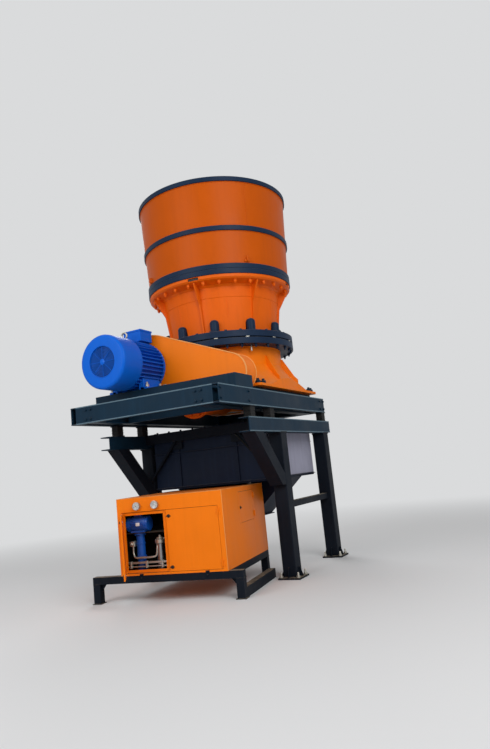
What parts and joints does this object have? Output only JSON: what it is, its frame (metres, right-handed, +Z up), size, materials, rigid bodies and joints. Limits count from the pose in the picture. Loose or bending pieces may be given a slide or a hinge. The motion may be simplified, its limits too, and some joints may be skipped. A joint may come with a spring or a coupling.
{
  "type": "cone crusher on a steel stand",
  "caption": "Cone crusher with feed bin, belt drive and motor on a platform and stand, with discharge hopper and lubrication cabinet.",
  "frame": {"origin": "on the ground, in the middle of the overall footprint", "axes": "+Z up, -Y to the front with the motor and the cabinet, +X to the right along the front"},
  "size_m": [2.86, 4.4708, 6.57],
  "materials": {
    "orange_enamel": "glossy orange machine enamel",
    "navy_enamel": "dark navy machine enamel",
    "motor_enamel": "bright blue motor enamel",
    "frame_enamel": "dark blue-grey structural paint",
    "stand_enamel": "near black structural paint",
    "chute_plate": "near black paint on rolled plate",
    "manganese_steel": "cast manganese steel, worn",
    "shaft_steel": "turned steel",
    "mount_rubber": "moulded rubber",
    "pump_enamel": "blue-grey pump enamel",
    "gauge_steel": "gauge cases"
  },
  "bodies": {
    "root": {"feed_bin": "orange_enamel", "top_shell": "orange_enamel", "bottom_shell": "orange_enamel", "countershaft_housing": "orange_enamel", "belt_guard": "orange_enamel", "spider": "orange_enamel", "spider_cap": "orange_enamel", "cabinet_housing": "orange_enamel", "bin_bands": "navy_enamel", "bin_flange": "navy_enamel", "top_shell_ring": "navy_enamel", "upper_clamp_flange": "navy_enamel", "lower_clamp_flange": "navy_enamel", "motor_body": "motor_enamel", "motor_fan_cover": "motor_enamel", "motor_drive_end": "motor_enamel", "motor_terminal_box": "motor_enamel", "platform_end_beams": "frame_enamel", "platform_side_beams": "frame_enamel", "platform_carriers": "frame_enamel", "platform_cross_beams": "frame_enamel", "crusher_seat_rails": "frame_enamel", "drive_base": "frame_enamel", "bearer_beams": "stand_enamel", "stand_columns": "stand_enamel", "foot_plates": "stand_enamel", "stand_cross_beams": "stand_enamel", "side_braces": "stand_enamel", "knee_braces": "stand_enamel", "skid_cross_beams": "stand_enamel", "skid_side_beams": "stand_enamel", "skid_legs": "stand_enamel", "discharge_chute": "chute_plate", "concave_liner": "manganese_steel", "mantle": "manganese_steel", "main_shaft": "shaft_steel", "resilient_blocks": "mount_rubber", "pump_motor": "pump_enamel", "oil_pump": "pump_enamel", "oil_filter": "pump_enamel", "cabinet_gauges": "gauge_steel"},
    "left_door": {"cabinet_left_door": "orange_enamel"},
    "right_door": {"cabinet_right_door": "orange_enamel"},
    "side_door": {"cabinet_side_door": "orange_enamel"}
  },
  "joints": [
    {"name": "left_door_hinge", "type": "hinge", "parent": "root", "child": "left_door", "pos_m": [-0.5932, -1.68879, 0.398], "axis": [0, 0, 1], "range_deg": [-48, 62]},
    {"name": "right_door_hinge", "type": "hinge", "parent": "root", "child": "right_door", "pos_m": [0.88043, -1.45539, 0.398], "axis": [0, 0, 1], "range_deg": [0, 110]},
    {"name": "side_door_hinge", "type": "hinge", "parent": "root", "child": "side_door", "pos_m": [0.74513, -0.08975, 0.92], "axis": [0, 0, 1], "range_deg": [0, 78]}
  ]
}
